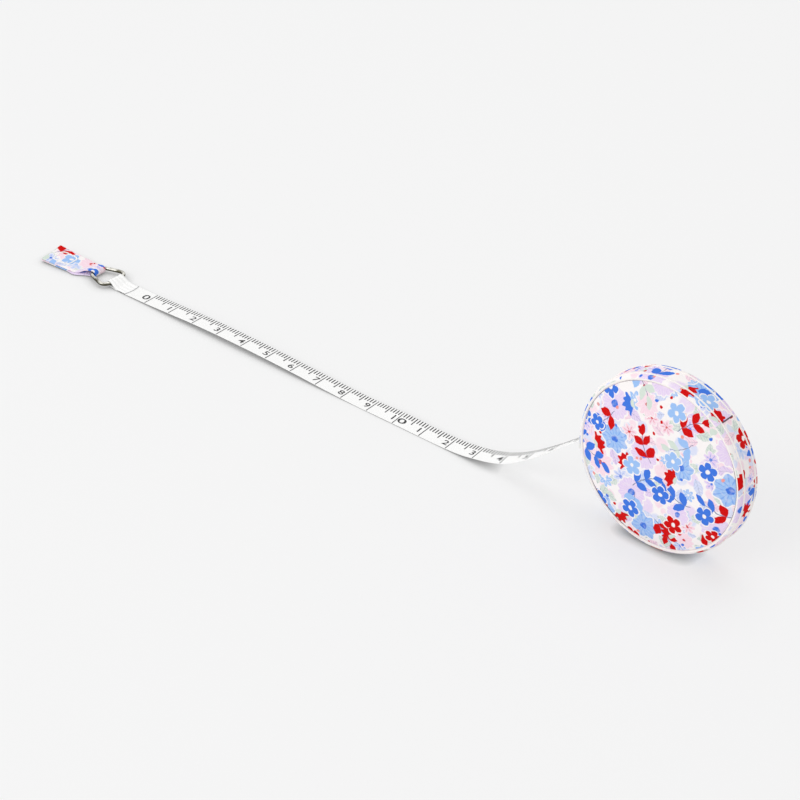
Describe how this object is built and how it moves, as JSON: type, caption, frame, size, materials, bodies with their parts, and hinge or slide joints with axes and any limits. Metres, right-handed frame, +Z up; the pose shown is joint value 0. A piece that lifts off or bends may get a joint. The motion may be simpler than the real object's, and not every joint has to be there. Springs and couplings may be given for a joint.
{
  "type": "retractable sewing tape measure",
  "caption": "Round padded cloth-covered spring-return tape measure standing on its rim, with its narrow tape drawn out and a wire ring and cloth pull tab at the end.",
  "frame": {"origin": "on the surface that carries it, under the middle of the round case", "axes": "+Z up; the case's axis lies along Y, with the plain front face towards -Y and the release button towards +Y; the tape runs out towards -X"},
  "size_m": [0.262, 0.0148, 0.0546],
  "materials": {
    "printed_cloth": "matt printed cotton",
    "pale_cloth": "matt cream piping",
    "foam": "thin foam wadding",
    "white_plastic": "satin moulded",
    "grey_plastic": "satin moulded",
    "coated_tape": "white coated glass cloth",
    "spring_steel": "bright rolled strip",
    "plated_steel": "bright nickel plate",
    "brake_rubber": "matt"
  },
  "bodies": {
    "case": {"front_shell": "white_plastic", "rear_shell": "white_plastic", "front_pad": "foam", "rear_pad": "foam", "front_cover": "printed_cloth", "rear_cover": "printed_cloth", "front_welt": "pale_cloth", "rear_welt": "pale_cloth", "side_band": "printed_cloth", "mouth_lip": "white_plastic", "brake_ring": "brake_rubber", "brake_spring": "spring_steel", "button_bezel": "plated_steel", "tape_run": "coated_tape"},
    "button": {"push_button": "white_plastic", "button_cover": "printed_cloth"},
    "reel": {"reel_drum": "grey_plastic", "reel_plate": "grey_plastic", "tape_coil": "coated_tape", "mainspring": "spring_steel"},
    "tape_end": {"tape_end": "coated_tape"},
    "ring": {"end_ring": "plated_steel"},
    "tab": {"pull_tab": "printed_cloth"}
  },
  "joints": [
    {"name": "button_press", "type": "slide", "parent": "case", "child": "button", "axis": [0, -1, 0], "range_m": [0, 0.0006], "stiffness_N_per_m": 2000, "deforming": ["brake_spring"]},
    {"name": "reel_spin", "type": "hinge", "parent": "button", "child": "reel", "pos_m": [0, 0, 0.0272], "axis": [0, 1, 0], "range_deg": [0, 680], "deforming": ["mainspring"]},
    {"name": "tape_slide", "type": "slide", "parent": "case", "child": "tape_end", "axis": [0.992, 0.0107, 0.1261], "range_m": [0, 0.1725], "deforming": ["tape_run"]},
    {"name": "ring_swing", "type": "hinge", "parent": "tape_end", "child": "ring", "pos_m": [-0.208, -0.00185, 0.0014], "axis": [0, 1, 0], "range_deg": [0, 70]},
    {"name": "tab_swing", "type": "hinge", "parent": "ring", "child": "tab", "pos_m": [-0.216, -0.00185, 0.0014], "axis": [0, 1, 0], "range_deg": [0, 70]}
  ],
  "couplings": [
    {"joint": "reel_spin", "follows": "tape_slide", "rad_per_m": 68.5}
  ]
}
